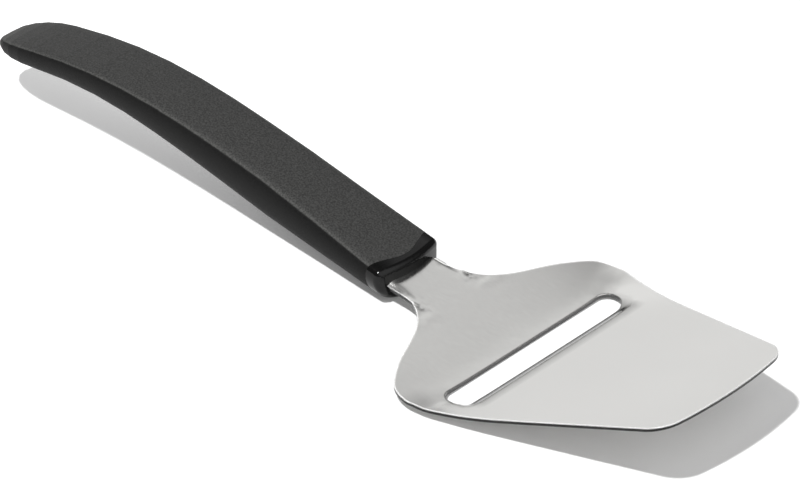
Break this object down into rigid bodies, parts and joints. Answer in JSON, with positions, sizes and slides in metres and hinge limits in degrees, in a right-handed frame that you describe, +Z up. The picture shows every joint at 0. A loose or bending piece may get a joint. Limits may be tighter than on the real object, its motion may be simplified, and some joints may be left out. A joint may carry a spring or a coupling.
{
  "type": "cheese slicer",
  "caption": "Plane-type cheese slicer: a wide steel plate with a raised cutting slot and ground lip, on an arched handle with a glossy collar and a soft grip.",
  "frame": {"origin": "on the floor, under the middle of the whole length and width", "axes": "+X along the slicer towards the blade's tip, +Y across it to the left seen from the handle, +Z up"},
  "size_m": [0.2245, 0.0708, 0.0218],
  "materials": {
    "blade_steel": "satin polished stainless steel",
    "core_plastic": "glossy black",
    "grip_rubber": "matt soft grain"
  },
  "bodies": {
    "root": {"blade": "blade_steel", "handle_core": "core_plastic", "soft_grip": "grip_rubber"}
  },
  "joints": []
}
